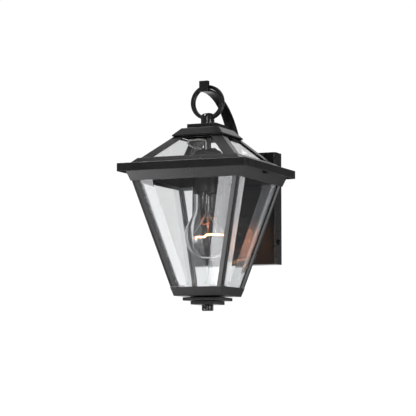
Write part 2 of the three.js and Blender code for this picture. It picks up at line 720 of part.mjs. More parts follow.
// ---- Centre rod from the knob down to the socket cover, with its nuts ----
{
  const low = coverLid - nutHeight - seam - rodEnd;
  const high = topPlateTop + rodEntry;
  add("centre_rod", rod(rodRadius, [0, axisY, low], high - low, [0, 0, 1], 20), plated);
  const upper = [0, axisY, coverTop + seam];
  add("cover_nut_upper", hexNut(nutAcross, rodRadius + seam, nutHeight, upper, [0, 0, 1]), plated);
  const lower = [0, axisY, coverLid - seam - nutHeight];
  add("cover_nut_lower", hexNut(nutAcross, rodRadius + seam, nutHeight, lower, [0, 0, 1]), plated);
}

// ---- Socket: cover, body, screw shell and centre contact ----
const coverInner = coverRadius - coverWall;
const exitRadius = coverInner - wireInset; // wires leave the cover's lid on this circle
const whiteExit = [wireSwing, axisY - Math.sqrt(exitRadius ** 2 - wireSwing ** 2)];
const blackExit = [wirePair / 2, axisY + exitRadius];
{
  const cup = [
    [rodRadius + holeEase, coverLid], [coverInner, coverLid],
    [coverInner, coverBottom], [coverRadius, coverBottom],
    [coverRadius, coverTop], [rodRadius + holeEase, coverTop],
    [rodRadius + holeEase, coverLid],
  ].map(([r, z]) => [r, z - coverBottom]);
  let cover = turned(cup, 0, axisY, coverBottom, 36);
  for (const [x, y] of [whiteExit, blackExit]) {
    cover = cover.subtract(rod(wireRadius + holeEase, [x, y, coverLid - 1], coverWall + 2, [0, 0, 1], 12));
  }
  add("socket_cover", cover, paint);
}
const socketTop = coverLid - nutHeight - rodEnd - seam * 3;
const socketBottom = lampTop + seam;
const shellOuter = lampBaseRadius + slip + shellWall;
const cavityRadius = shellOuter + seam;
const cavityTop = socketTop - socketRoof;
{
  const outer = cavityRadius + socketWall;
  const height = socketTop - socketBottom;
  const cavity = cavityTop - socketBottom;
  const tailHole = 1.8; // for the centre contact's tail
  const outline = [
    [tailHole, cavity], [cavityRadius, cavity], [cavityRadius, 0], [outer, 0], [outer, height],
    [tailHole, height], [tailHole, cavity],
  ];
  add("socket_body", turned(outline, 0, axisY, socketBottom, 28), porcelain);
  const shellLength = cavityTop - seam - socketBottom - 1;
  const shellStart = [0, axisY, socketBottom + 1];
  const shell = pipe(shellOuter, shellOuter - shellWall, shellStart, shellLength, [0, 0, 1], 28);
  add("socket_screw_shell", shell, brass);
  const tongue = rod(4, [0, axisY, cavityTop - seam - 0.8], 0.8, [0, 0, 1], 16);
  const tail = rod(1.4, [0, axisY, cavityTop - seam - 0.4], socketRoof - 0.4, [0, 0, 1], 12);
  add("socket_centre_contact", tongue.add(tail), brass);
}

// ---- Lamp: glass envelope, base, insulator, contact, stem, leads and filament ----
function lampOutline(inset) {
  const sphere = lampTip + lampRadius;
  const radius = lampRadius - inset;
  const points = [];
  const join = 0.38; // radians above the widest circle
  const steps = 9;
  for (let i = 0; i <= steps; i++) {
    const a = -Math.PI / 2 + (i / steps) * (Math.PI / 2 + join);
    points.push([radius * Math.cos(a), sphere + radius * Math.sin(a)]);
  }
  const [lastRadius, lastZ] = points[points.length - 1];
  const waist = lampWaist - inset;
  const neckZ = coverBottom - lampShoulder;
  const pull = (neckZ - lastZ) * 0.37;
  const curve = new THREE.CubicBezierCurve(
    new THREE.Vector2(lastRadius, lastZ),
    new THREE.Vector2(lastRadius - pull * Math.tan(join), lastZ + pull),
    new THREE.Vector2(waist, neckZ - pull),
    new THREE.Vector2(waist, neckZ),
  );
  for (const p of curve.getPoints(8).slice(1)) points.push([p.x, p.y]);
  points.push([waist, coverBottom + 3]);
  points.push([lampNeckRadius - inset, lampTop]);
  return points;
}
{
  const outside = lampOutline(0);
  const inside = lampOutline(lampWall);
  inside[0][0] = 0;
  outside[0][0] = 0;
  const profile = [...outside, ...inside.reverse()].map(([r, z]) => [r, z - lampTip]);
  add("lamp_glass", turned(profile, 0, axisY, lampTip, 28), clearGlass);
}
{
  const low = lampTop + seam;
  const shellLength = lampBaseLength - 3;
  const outline = [
    [lampBaseRadius - 0.6, 0], [lampBaseRadius, 1], [lampBaseRadius, shellLength - 2],
    [lampBaseRadius - 2.5, shellLength], [lampBaseRadius - 3.5, shellLength],
    [lampBaseRadius - 1.2, shellLength - 2], [lampBaseRadius - 1.2, 0], [lampBaseRadius - 0.6, 0],
  ];
  add("lamp_base", turned(outline, 0, axisY, low, 28), plated);
  const glassZ = low + shellLength + seam;
  const insulator = [[2.6, 0], [9, 0], [5.4, 2], [2.6, 2], [2.6, 0]];
  add("lamp_insulator", turned(insulator, 0, axisY, glassZ, 20), blackWire);
  const contact = [[0, 0], [2.3, 0], [2.3, 1.8], [1.2, 2.7], [0, 2.7]];
  add("lamp_contact", turned(contact, 0, axisY, glassZ, 16), plated);
}
const pressBottom = -10;
{
  const flareTop = lampTop - seam;
  const outline = [
    [0, pressBottom], [2.6, pressBottom], [3, pressBottom + 10], [stemRadius * 0.6, pressBottom + 14],
    [stemRadius * 0.7, flareTop - 8], [lampNeckRadius - lampWall - seam - 0.6, flareTop], [0, flareTop],
  ].map(([r, z]) => [r, z - pressBottom]);
  const centre = rod(stemRod, [0, axisY, pressBottom + 1], stemRodLength + 1, [0, 0, -1], 12);
  add("lamp_stem", turned(outline, 0, axisY, pressBottom, 16).add(centre), clearGlass);
}
{
  const start = pressBottom - seam;
  for (const [side, name] of [[-1, "left"], [1, "right"]]) {
    const points = [
      [side * 2, axisY, start], [side * 3.2, axisY, start - 5], [side * 9, axisY, start - 17],
      [side * filamentHalf, axisY, filamentZ + filamentRadius + leadRadius + seam],
    ];
    add("lamp_lead_" + name, wireAlong(points, leadRadius, 5), plated);
  }
  const sag = 2.2;
  const points = [];
  for (let i = 0; i <= 4; i++) {
    const t = i / 2 - 1;
    points.push([t * filamentHalf, axisY - 3 * (1 - t * t), filamentZ - sag * (1 - t * t)]);
  }
  add("lamp_filament", wireAlong(points, filamentRadius, 3), hotWire);
}

// ---- Wires inside: socket cover to the wall plate, ending in twist-on connectors ----
{
  const wallY = -plateDepth / 2 - 1;
  const dropZ = wireZ - plateWireDrop;
  const hole = (x) => [
    [x * 2.5, axisY + bandTopHalf * 0.66, coverTop - 8],
    [x * 1.4, axisY + bandTopHalf - sheet - 12, wireZ + 5],
    [x, axisY + collarHalf - 7, wireZ],
    [x, axisY + collarHalf, wireZ],
    [x, axisY + eaveHalf, wireZ],
    [x, -plateDepth + sheet + 4, wireZ],
  ];
  const inPlate = (side) => [
    [side * 10, wallY, wireZ - 10], [side * 22, wallY, wireZ - 30], [side * plateWireSpread, wallY, dropZ],
  ];
  // The white wire's slack loops in front of the centre rod, just under the roof cap.
  const slack = [
    [...whiteExit, coverLid - 1.2], [...whiteExit, coverTop + 7],
    [wireSwing - 1, axisY - 14, capBottom - 6],
    [-4, axisY - 12, capBottom - 4], [-14, axisY - 11, capBottom - 3.8],
    [-22, axisY - 10, capBottom - 4.2], [-26, axisY - 6, capBottom - 6.4],
    [-25, axisY + 4, capBottom - 10], [-17, axisY + 24, coverTop + 5],
  ];
  const straight = [
    [...blackExit, coverLid - 1.2], [...blackExit, coverTop + 3.5],
    [blackExit[0], blackExit[1] + 8, coverTop + 5],
  ];
  const routes = [
    ["white", whiteWire, -1, slack],
    ["black", blackWire, 1, straight],
  ];
  for (const [name, finish, side, start] of routes) {
    const points = [...start, ...hole((side * wirePair) / 2), ...inPlate(side)];
    add("wire_" + name, wireAlong(points), finish);
    const outline = [
      [0, 0], [capNutRadius, 0], [capNutRadius, 8], [capNutRadius * 0.6, capNutLength], [0, capNutLength],
    ];
    const mouth = [side * plateWireSpread, wallY, dropZ - seam];
    add("wire_connector_" + name, turned(outline, ...mouth, 12, [0, 0, -1]), orangeCap);
  }
}

export default group;
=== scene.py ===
# Outdoor wall lantern: the finished pieces, their paint, glass and lamp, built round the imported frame.
# Metres throughout, in the part's own frame: +X right, +Y into the wall, +Z up, origin on the wall.
import json
import math

import bmesh
import bpy
from mathutils import Matrix, Vector

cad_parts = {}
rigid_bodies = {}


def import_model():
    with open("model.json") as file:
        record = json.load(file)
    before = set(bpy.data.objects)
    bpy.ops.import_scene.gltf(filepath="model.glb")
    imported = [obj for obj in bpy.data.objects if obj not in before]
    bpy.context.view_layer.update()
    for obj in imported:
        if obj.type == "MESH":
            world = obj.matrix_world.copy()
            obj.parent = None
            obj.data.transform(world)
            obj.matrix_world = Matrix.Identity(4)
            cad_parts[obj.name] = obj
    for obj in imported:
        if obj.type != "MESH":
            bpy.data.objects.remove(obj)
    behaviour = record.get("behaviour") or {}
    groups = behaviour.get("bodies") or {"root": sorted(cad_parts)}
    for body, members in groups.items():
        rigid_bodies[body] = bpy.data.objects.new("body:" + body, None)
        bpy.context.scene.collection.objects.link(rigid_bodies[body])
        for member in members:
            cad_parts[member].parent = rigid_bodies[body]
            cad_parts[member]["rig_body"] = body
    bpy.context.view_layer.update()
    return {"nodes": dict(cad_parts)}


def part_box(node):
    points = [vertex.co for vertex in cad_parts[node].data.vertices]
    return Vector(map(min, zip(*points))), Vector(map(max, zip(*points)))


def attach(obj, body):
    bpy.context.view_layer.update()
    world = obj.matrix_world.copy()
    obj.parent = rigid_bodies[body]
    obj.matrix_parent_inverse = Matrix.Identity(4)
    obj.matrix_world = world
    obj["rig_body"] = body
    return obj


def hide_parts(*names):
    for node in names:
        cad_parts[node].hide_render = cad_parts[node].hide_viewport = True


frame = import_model()

# ---- Camera ----
# A long lens a couple of metres away, a little to the right of the lantern and just below it, and
# tilted up at it. Colours are shown as they are, with no film curve.
camera_data = bpy.data.cameras.new("camera")
camera_data.lens = 158.3
camera_data.sensor_width = 36
camera = bpy.data.objects.new("camera", camera_data)
bpy.context.scene.collection.objects.link(camera)
camera.location = (0.959, -2.3221, -0.2269)
turn = math.radians(23.46)
tilt = math.radians(5.25)
aim = Vector((-math.sin(turn) * math.cos(tilt), math.cos(turn) * math.cos(tilt), math.sin(tilt)))
camera.rotation_euler = aim.to_track_quat("-Z", "Y").to_euler()
bpy.context.scene.camera = camera
bpy.context.scene.view_settings.view_transform = "Standard"


# ---- Studio ----
# A white backdrop behind the lantern, dark flags at its edges, a grey room round the rest, a pale floor
# below, and seven soft lights. What the camera sees directly is white or pale; reflections see the room.
def linear(hex_colour):
    """An sRGB hex colour as linear red, green, blue and alpha."""
    channels = [int(hex_colour[i : i + 2], 16) / 255 for i in (1, 3, 5)]
    straight = [c / 12.92 if c <= 0.04045 else ((c + 0.055) / 1.055) ** 2.4 for c in channels]
    return (*straight, 1.0)


def add_node(tree, kind, inputs=None, **settings):
    """Adds a node, sets it up, and fills each named input with a value or another node's output."""
    made = tree.nodes.new(kind)
    for name, value in settings.items():
        setattr(made, name, value)
    for name, value in (inputs or {}).items():
        if isinstance(value, bpy.types.NodeSocket):
            tree.links.new(value, made.inputs[name])
        else:
            made.inputs[name].default_value = value
    return made


def new_material(name):
    """An empty node material, and its tree."""
    material = bpy.data.materials.new(name)
    material.use_nodes = True
    material.node_tree.nodes.clear()
    return material, material.node_tree


world = bpy.data.worlds.new("studio")
bpy.context.scene.world = world
world.use_nodes = True
tree = world.node_tree
tree.nodes.clear()
way = add_node(tree, "ShaderNodeTexCoord")
toward_backdrop = Vector((-0.35, 0.93, 0.1)).normalized()
facing = add_node(
    tree, "ShaderNodeVectorMath", {0: way.outputs["Generated"], 1: tuple(toward_backdrop)},
    operation="DOT_PRODUCT",
)
shade = add_node(tree, "ShaderNodeValToRGB", {"Fac": facing.outputs["Value"]})
backdrop_white = (1.03, 1.03, 1.03, 1)
room_grey = (0.22, 0.22, 0.225, 1)
flag_grey = (0.07, 0.07, 0.072, 1)
room, backdrop = shade.color_ramp.elements
room.position = 0.45
room.color = room_grey
backdrop.position = 0.93
backdrop.color = backdrop_white
for position in (0.6, 0.84):
    flag = shade.color_ramp.elements.new(position)
    flag.color = flag_grey
seen = add_node(tree, "ShaderNodeLightPath")
first_colour, second_colour, mixed_colour = 6, 7, 2  # a mix node's sockets for colours, by number
behind = add_node(
    tree, "ShaderNodeMix",
    {
        "Factor": seen.outputs["Is Camera Ray"], first_colour: shade.outputs["Color"],
        second_colour: backdrop_white,
    },
    data_type="RGBA",
)
light = add_node(tree, "ShaderNodeBackground", {"Color": behind.outputs[mixed_colour], "Strength": 1.0})
add_node(tree, "ShaderNodeOutputWorld", {"Surface": light.outputs["Background"]})

floor_paint, tree = new_material("matt white studio floor")
grain = add_node(tree, "ShaderNodeTexNoise", {"Scale": 40.0, "Detail": 3.0})
tone = add_node(tree, "ShaderNodeValToRGB", {"Fac": grain.outputs["Fac"]})
tone.color_ramp.elements[0].color = linear("#e9e9e8")
tone.color_ramp.elements[1].color = linear("#f2f2f1")
skin = add_node(tree, "ShaderNodeBsdfPrincipled", {"Base Color": tone.outputs["Color"], "Roughness": 0.8})
pale = add_node(tree, "ShaderNodeEmission", {"Color": tone.outputs["Color"], "Strength": 0.9})
seen = add_node(tree, "ShaderNodeLightPath")
lift = 0.8  # how much of what the camera sees of the floor is its own pale light
share = add_node(tree, "ShaderNodeMath", {0: seen.outputs["Is Camera Ray"], 1: lift}, operation="MULTIPLY")
both = add_node(
    tree, "ShaderNodeMixShader",
    {0: share.outputs["Value"], 1: skin.outputs["BSDF"], 2: pale.outputs["Emission"]},
)
add_node(tree, "ShaderNodeOutputMaterial", {"Surface": both.outputs["Shader"]})

floor_drop = 1.2
floor_half = 3.5
floor_mesh = bpy.data.meshes.new("floor")
shape = bmesh.new()
bmesh.ops.create_grid(shape, x_segments=1, y_segments=1, size=floor_half)
bmesh.ops.translate(shape, verts=shape.verts, vec=(0, 0, -floor_drop))
shape.to_mesh(floor_mesh)
shape.free()
floor_mesh.materials.append(floor_paint)
floor = bpy.data.objects.new("floor", floor_mesh)
bpy.context.scene.collection.objects.link(floor)

lantern_middle = Vector((0, -0.11, 0))
for name, place, width, height, watts in (
    ("left_box", (-0.72, -0.86, -0.36), 0.55, 0.54, 4.7),
    ("right_rim_box", (0.84, 1.0, -0.3), 0.2, 0.7, 1.4),
    ("front_strip", (-0.2, -1.28, -0.5), 0.12, 0.6, 1.5),
    ("overhead_box", (-0.57, 0.78, 1.3), 0.8, 1.0, 7),
    ("brow_box", (-0.6, -0.86, 1.2), 0.26, 0.24, 10),
    ("corner_strip", (1.19, -0.63, 0.0), 0.07, 0.6, 2.5),
    ("camera_strip", (0.42, -2.0, 0.1), 0.1, 1.4, 5),
):
    lamp = bpy.data.lights.new(name, "AREA")
    lamp.shape = "RECTANGLE"
    lamp.size = width
    lamp.size_y = height
    lamp.energy = watts
    holder = bpy.data.objects.new(name, lamp)
    bpy.context.scene.collection.objects.link(holder)
    holder.location = place
    toward = lantern_middle - Vector(place)
    holder.rotation_euler = toward.to_track_quat("-Z", "Y").to_euler()

# ---- Painted sheet and strap ----
# Folded, punched and welded steel and aluminium, powder coated satin black: near black, a soft sheen
# at the bends, and the faint orange peel that a baked powder has.
black_paint, tree = new_material("satin black powder coat")
where = add_node(tree, "ShaderNodeTexCoord")
cloud = add_node(
    tree, "ShaderNodeTexNoise",
    {"Vector": where.outputs["Object"], "Scale": 1000 / 18, "Detail": 4.0, "Roughness": 0.6},
)
tone = add_node(tree, "ShaderNodeValToRGB", {"Fac": cloud.outputs["Fac"]})
tone.color_ramp.elements[0].position = 0.35
tone.color_ramp.elements[0].color = linear("#0e0e0e")
tone.color_ramp.elements[1].position = 0.7
tone.color_ramp.elements[1].color = linear("#141414")
dull = add_node(
    tree, "ShaderNodeMapRange",
    {"Value": cloud.outputs["Fac"], "From Min": 0.3, "From Max": 0.7, "To Min": 0.27, "To Max": 0.31},
)
peel = add_node(
    tree, "ShaderNodeTexNoise",
    {"Vector": where.outputs["Object"], "Scale": 1000 / 1.6, "Detail": 2.0},
)
bump = add_node(
    tree, "ShaderNodeBump",
    {"Height": peel.outputs["Fac"], "Strength": 0.25, "Distance": 0.00012},
)
skin = add_node(
    tree, "ShaderNodeBsdfPrincipled",
    {
        "Base Color": tone.outputs["Color"], "Roughness": dull.outputs["Result"],
        "Normal": bump.outputs["Normal"],
    },
)
add_node(tree, "ShaderNodeOutputMaterial", {"Surface": skin.outputs["BSDF"]})


def finished(name, shape, material, body, stands_for, smooth=True):
    """A bmesh as a finished object: its faces shaded, its material given, and tied to the frame."""
    mesh = bpy.data.meshes.new(name)
    for face in shape.faces:
        face.smooth = smooth
    shape.to_mesh(mesh)
    shape.free()
    mesh.materials.append(material)
    piece = bpy.data.objects.new(name, mesh)
    bpy.context.scene.collection.objects.link(piece)
    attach(piece, body)
    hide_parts(*stands_for)
    return piece


def evened(piece):
    """Weighs a piece's shading by its faces' size, so that flats stay flat between rounded edges."""
    weigh = piece.modifiers.new("even_shading", "WEIGHTED_NORMAL")
    weigh.mode = "FACE_AREA"
    weigh.weight = 60
    weigh.keep_sharp = True
    return piece


least_wall = 0.0004  # square metres: a face smaller than this is the edge of a sheet, not a wall of it


def softened(node, radius, material, segments=2, sharp=30, fold=0):
    """A copy of a CAD node with its sharp edges rounded off, and its outer folds rounded by fold."""
    shape = bmesh.new()
    shape.from_mesh(frame["nodes"][node].data)
    bmesh.ops.remove_doubles(shape, verts=shape.verts, dist=1e-6)
    bmesh.ops.dissolve_limit(
        shape, angle_limit=math.radians(0.5), verts=shape.verts, edges=shape.edges,
        use_dissolve_boundaries=False,
    )
    if fold:
        folds = [
            e for e in shape.edges
            if e.is_manifold and e.is_convex and e.calc_face_angle() > math.radians(sharp)
            and min(f.calc_area() for f in e.link_faces) > least_wall
        ]
        bmesh.ops.bevel(
            shape, geom=folds, offset=fold, offset_type="OFFSET", segments=4, profile=0.5,
            affect="EDGES", material=-1, clamp_overlap=True,
        )
    edges = [e for e in shape.edges if e.is_manifold and e.calc_face_angle() > math.radians(sharp)]
    bmesh.ops.bevel(
        shape, geom=edges, offset=radius, offset_type="OFFSET", segments=segments, profile=0.5,
        affect="EDGES", material=-1, clamp_overlap=True,
    )
    body = frame["nodes"][node]["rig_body"]
    return evened(finished(node + "_piece", shape, material, body, [node]))


for node, fold in (
    ("wall_plate", 0.0016), ("eave_frame", 0.0016), ("roof_cap", 0.0012), ("top_plate", 0.0012),
):
    softened(node, 0.0002, black_paint, fold=fold)

for node, radius in (
    ("roof_frame", 0.0006), ("arm_end_block", 0.0006), ("arm", 0.0006), ("cage_rail", 0.0003),
    ("cage_pan", 0.0006), ("step_plate_1", 0.0006), ("step_plate_2", 0.0006),
    ("plate_screw_lower_left", 0.0003), ("plate_screw_lower_right", 0.0003),
    ("plate_screw_upper_left", 0.0003), ("plate_screw_upper_right", 0.0003),
    ("cage_screw_left", 0.0003), ("cage_screw_right", 0.0003), ("centre_rod", 0.0003),
    ("cap_nut", 0.0004), ("cover_nut_upper", 0.0004),
):
    softened(node, radius, black_paint)

# ---- Corner posts ----
# Each corner of the cage is a drawn angle with a double bead along its arris; its two flanges thin
# towards the glass, so they catch the light differently from the flat sheet.
def post_section(flange, wall):
    """The angle's outline from above: its outer corner at the origin, its flanges along -X and +Y."""
    bead = 0.0009  # the unit that the two beads' widths and heights are given in
    thick = 0.0013  # how much the flange thins
    side = [
        (0, 0), (-bead * 0.8, 0), (-bead, bead * 0.7), (-bead * 1.5, bead * 0.7), (-bead * 1.7, 0),
        (-bead * 2.4, 0), (-bead * 2.7, bead * 0.8), (-bead * 3.2, bead * 0.5),
        (-flange, thick), (-flange, thick + wall * 0.6),
    ]
    turned_side = [(-y, -x) for x, y in reversed(side[1:])]
    return side + [(-thick - wall * 0.7, thick + wall * 0.7)] + turned_side


post_flange = 0.0088
post_wall = 0.0012
cage_mid = Vector((0, (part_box("cage_pan")[0].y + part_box("cage_pan")[1].y) / 2, 0))
for i, corner in enumerate(("front_right", "back_right", "back_left", "front_left")):
    node = "post_" + corner
    low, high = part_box(node)
    verts = frame["nodes"][node].data.vertices
    lowest = min(v.co.z for v in verts)
    foot_half = max(abs(v.co.x) for v in verts if v.co.z < lowest + 1e-5)
    head_half = max(abs(low.x), abs(high.x))
    shape = bmesh.new()
    ring_verts = [shape.verts.new((x, y, 0)) for x, y in post_section(post_flange, post_wall)]
    base = shape.faces.new(ring_verts)
    top = bmesh.ops.extrude_face_region(shape, geom=[base])["geom"]
    top_verts = [g for g in top if isinstance(g, bmesh.types.BMVert)]
    for vert in shape.verts:
        half, height = (head_half, high.z) if vert in top_verts else (foot_half, low.z)
        vert.co = Vector((vert.co.x + half, vert.co.y - half, height))
    quarter_turns = Matrix.Rotation(i * math.pi / 2, 3, "Z")
    bmesh.ops.rotate(shape, verts=shape.verts, cent=(0, 0, 0), matrix=quarter_turns)
    bmesh.ops.translate(shape, verts=shape.verts, vec=cage_mid)
    bmesh.ops.recalc_face_normals(shape, faces=shape.faces)
    finished(node + "_piece", shape, black_paint, "cage", [node], smooth=False)


# ---- Ring ----
# Flat steel bar rolled to a circle, welded, and ground round at its corners; the knob below is slotted
# over it.
def turned(outline, centre, axis=(0, 0, 1), steps=96):
    """An outline of (radius, height) points, closed or from pole to pole, spun round an axis."""
    shape = bmesh.new()
    verts = [shape.verts.new((radius, 0, height)) for radius, height in outline]
    edges = [shape.edges.new(pair) for pair in zip(verts, verts[1:])]
    if outline[0][0] > 0 and outline[-1][0] > 0:
        edges.append(shape.edges.new((verts[-1], verts[0])))
    bmesh.ops.spin(
        shape, geom=verts + edges, cent=(0, 0, 0), axis=(0, 0, 1), angle=math.tau, steps=steps,
        use_merge=True,
    )
    bmesh.ops.remove_doubles(shape, verts=shape.verts, dist=1e-7)
    bmesh.ops.recalc_face_normals(shape, faces=shape.faces)
    stand = Vector((0, 0, 1)).rotation_difference(Vector(axis)).to_matrix().to_4x4()
    bmesh.ops.transform(shape, verts=shape.verts, matrix=Matrix.Translation(centre) @ stand)
    return shape


def rounded(corners, radius, segments=4):
    """An outline with each corner turned into an arc; a third number is its own radius, and 0 is sharp."""
    points = []
    count = len(corners)
    for i, corner in enumerate(corners):
        here = Vector(corner[:2])
        size = corner[2] if len(corner) > 2 else radius
        if size == 0:
            points.append(tuple(here))
            continue
        back = (Vector(corners[i - 1][:2]) - here).normalized()
        ahead = (Vector(corners[(i + 1) % count][:2]) - here).normalized()
        half = back.angle(ahead) / 2
        reach = size / math.tan(half)
        middle = here + (back + ahead).normalized() * size / math.sin(half)
        start = here + back * reach - middle
        end = here + ahead * reach - middle
        for step in range(segments + 1):
            t = step / segments
            arm = start.slerp(end, t) if start.angle(end) > 1e-4 else end
            points.append(tuple(middle + arm.normalized() * size))
    return points


low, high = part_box("ring")
ring_centre = (low + high) / 2
ring_outer = (high.x - low.x) / 2
ring_thick = 0.0048
ring_half = (high.y - low.y) / 2
corners = [
    (ring_outer - ring_thick, -ring_half), (ring_outer, -ring_half),
    (ring_outer, ring_half), (ring_outer - ring_thick, ring_half),
]
shape = turned(rounded(corners, 0.0011), ring_centre, axis=(0, 1, 0), steps=128)
finished("ring_piece", shape, black_paint, "fixture", ["ring"])

# ---- Knob and finial ----
# Turned metal, polished and then painted gloss black, so each shows tall bright streaks. The knob is
# slotted for the ring, and the finial has a stud that goes up into the pan.
gloss_paint, tree = new_material("gloss black paint on turned metal")
where = add_node(tree, "ShaderNodeTexCoord")
swirl = add_node(
    tree, "ShaderNodeTexNoise",
    {"Vector": where.outputs["Object"], "Scale": 1000 / 6, "Detail": 3.0},
)
tone = add_node(tree, "ShaderNodeValToRGB", {"Fac": swirl.outputs["Fac"]})
tone.color_ramp.elements[0].color = linear("#0b0b0b")
tone.color_ramp.elements[1].color = linear("#141313")
dull = add_node(tree, "ShaderNodeMapRange", {"Value": swirl.outputs["Fac"], "To Min": 0.1, "To Max": 0.2})
skin = add_node(
    tree, "ShaderNodeBsdfPrincipled",
    {
        "Base Color": tone.outputs["Color"], "Roughness": dull.outputs["Result"],
        "Coat Weight": 0.8, "Coat Roughness": 0.05,
    },
)
add_node(tree, "ShaderNodeOutputMaterial", {"Surface": skin.outputs["BSDF"]})


def cut(piece, tool):
    """Takes tool's shape out of piece, and puts the tool away."""
    saw = piece.modifiers.new("cut", "BOOLEAN")
    saw.object = tool
    saw.operation = "DIFFERENCE"
    saw.solver = "EXACT"
    seen = bpy.context.evaluated_depsgraph_get()
    carved = bpy.data.meshes.new_from_object(piece.evaluated_get(seen))
    piece.modifiers.clear()
    piece.data = carved
    bpy.data.objects.remove(tool)
    return piece


def tool_from(shape):
    """A bmesh as a plain object, for cutting with."""
    mesh = bpy.data.meshes.new("tool")
    shape.to_mesh(mesh)
    shape.free()
    tool = bpy.data.objects.new("tool", mesh)
    bpy.context.scene.collection.objects.link(tool)
    return tool


low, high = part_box("knob")
radius = (high.x - low.x) / 2
tall = high.z - low.z
dome = radius * 0.62
outline = rounded([(0, 0, 0), (radius, 0, 0.0004), (radius, tall, dome), (0, tall, 0)], dome, 12)
foot = Vector(((low.x + high.x) / 2, (low.y + high.y) / 2, low.z))
shape = turned(outline, foot)
knob = finished("knob_piece", shape, gloss_paint, "fixture", ["knob"])
ring_gap = 0.0003
slot_inner, slot_outer = ring_outer - ring_thick - ring_gap, ring_outer + ring_gap
slot_half = ring_half + ring_gap
corners = [
    (slot_inner, -slot_half), (slot_outer, -slot_half), (slot_outer, slot_half), (slot_inner, slot_half),
]
cut(knob, tool_from(turned(rounded(corners, 0.001), ring_centre, axis=(0, 1, 0), steps=128)))

low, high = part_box("finial")
radius = (high.x - low.x) / 2
finial_height = 0.008
finial_foot = Vector(((low.x + high.x) / 2, (low.y + high.y) / 2, low.z))
stud_radius = 0.0025
stud_tall = high.z - low.z
corners = [
    (0, 0, 0), (radius - 0.0006, 0, 0.0012), (radius, 0.0016, 0.001), (radius, finial_height, 0.0006),
    (stud_radius, finial_height, 0.0002), (stud_radius, stud_tall, 0.0005), (0, stud_tall, 0),
]
shape = turned(rounded(corners, 0.001), finial_foot)
finished("finial_piece", shape, gloss_paint, "cage", ["finial"])

# ---- Plated hardware ----
# Zinc-plated steel bracket, nuts and bolts, and the lamp's tip contact: pale grey with the cloudy
# patches of a bright dip.
zinc, tree = new_material("zinc-plated steel")
where = add_node(tree, "ShaderNodeTexCoord")
cloud = add_node(
    tree, "ShaderNodeTexNoise",
    {"Vector": where.outputs["Object"], "Scale": 1000 / 12, "Detail": 5.0},
)
tone = add_node(tree, "ShaderNodeValToRGB", {"Fac": cloud.outputs["Fac"]})
tone.color_ramp.elements[0].color = linear("#a3a7ab")
tone.color_ramp.elements[1].color = linear("#cdd0d3")
dull = add_node(tree, "ShaderNodeMapRange", {"Value": cloud.outputs["Fac"], "To Min": 0.25, "To Max": 0.5})
skin = add_node(
    tree, "ShaderNodeBsdfPrincipled",
    {"Base Color": tone.outputs["Color"], "Roughness": dull.outputs["Result"], "Metallic": 1.0},
)
add_node(tree, "ShaderNodeOutputMaterial", {"Surface": skin.outputs["BSDF"]})
for node, radius in (
    ("wall_bracket", 0.0004), ("roof_bolt_left", 0.0003), ("roof_bolt_right", 0.0003),
    ("roof_bolt_nut_left", 0.0003), ("roof_bolt_nut_right", 0.0003),
    ("cover_nut_lower", 0.0004), ("finial_nut", 0.0003),
    ("lamp_contact", 0.0002),
):
    softened(node, radius, zinc)

# ---- Panes ----
# Clear float glass. The cage panes have wide bevels up both sides and along the foot, a narrow one at
# the top, and a raised middle with clipped corners. The upright bevels are hazy; the roof panes are plain.
def glass(name, tint, film):
    """Clear glass with a film of dust; light from lamps goes straight through, as in thin glass."""
    material, tree = new_material(name)
    where = add_node(tree, "ShaderNodeTexCoord")
    dust = add_node(
        tree, "ShaderNodeTexNoise", {"Vector": where.outputs["Object"], "Scale": 1000 / 30, "Detail": 4.0},
    )
    dull = add_node(
        tree, "ShaderNodeMapRange",
        {"Value": dust.outputs["Fac"], "From Min": 0.4, "From Max": 0.8, "To Min": 0.0, "To Max": film},
    )
    skin = add_node(
        tree, "ShaderNodeBsdfPrincipled",
        {
            "Base Color": linear(tint), "Roughness": dull.outputs["Result"],
            "Transmission Weight": 1.0, "IOR": 1.5,
        },
    )
    clear = add_node(tree, "ShaderNodeBsdfTransparent", {"Color": linear(tint)})
    ray = add_node(tree, "ShaderNodeLightPath")
    both = add_node(
        tree, "ShaderNodeMixShader",
        {0: ray.outputs["Is Shadow Ray"], 1: skin.outputs["BSDF"], 2: clear.outputs["BSDF"]},
    )
    add_node(tree, "ShaderNodeOutputMaterial", {"Surface": both.outputs["Shader"]})
    return material


pane_glass = glass("clear float glass", "#fbfcfc", 0.02)

bevel_glass, tree = new_material("ground and polished bevel")
where = add_node(tree, "ShaderNodeTexCoord")
scour = add_node(
    tree, "ShaderNodeTexNoise", {"Vector": where.outputs["Object"], "Scale": 1000 / 0.8, "Detail": 2.0},
)
haze = add_node(tree, "ShaderNodeMapRange", {"Value": scour.outputs["Fac"], "To Min": 0.16, "To Max": 0.26})
skin = add_node(
    tree, "ShaderNodeBsdfPrincipled",
    {"Base Color": linear("#f4f6f7"), "Roughness": 0.03, "Transmission Weight": 1.0, "IOR": 1.5},
)
frost = add_node(
    tree, "ShaderNodeBsdfPrincipled",
    {"Base Color": linear("#e9edf2"), "Roughness": 0.45, "Specular IOR Level": 0.8},
)
both = add_node(
    tree, "ShaderNodeMixShader",
    {0: haze.outputs["Result"], 1: skin.outputs["BSDF"], 2: frost.outputs["BSDF"]},
)
clear = add_node(tree, "ShaderNodeBsdfTransparent", {"Color": linear("#d8dadb")})
ray = add_node(tree, "ShaderNodeLightPath")
lit = add_node(
    tree, "ShaderNodeMixShader",
    {0: ray.outputs["Is Shadow Ray"], 1: both.outputs["Shader"], 2: clear.outputs["BSDF"]},
)
add_node(tree, "ShaderNodeOutputMaterial", {"Surface": lit.outputs["Shader"]})

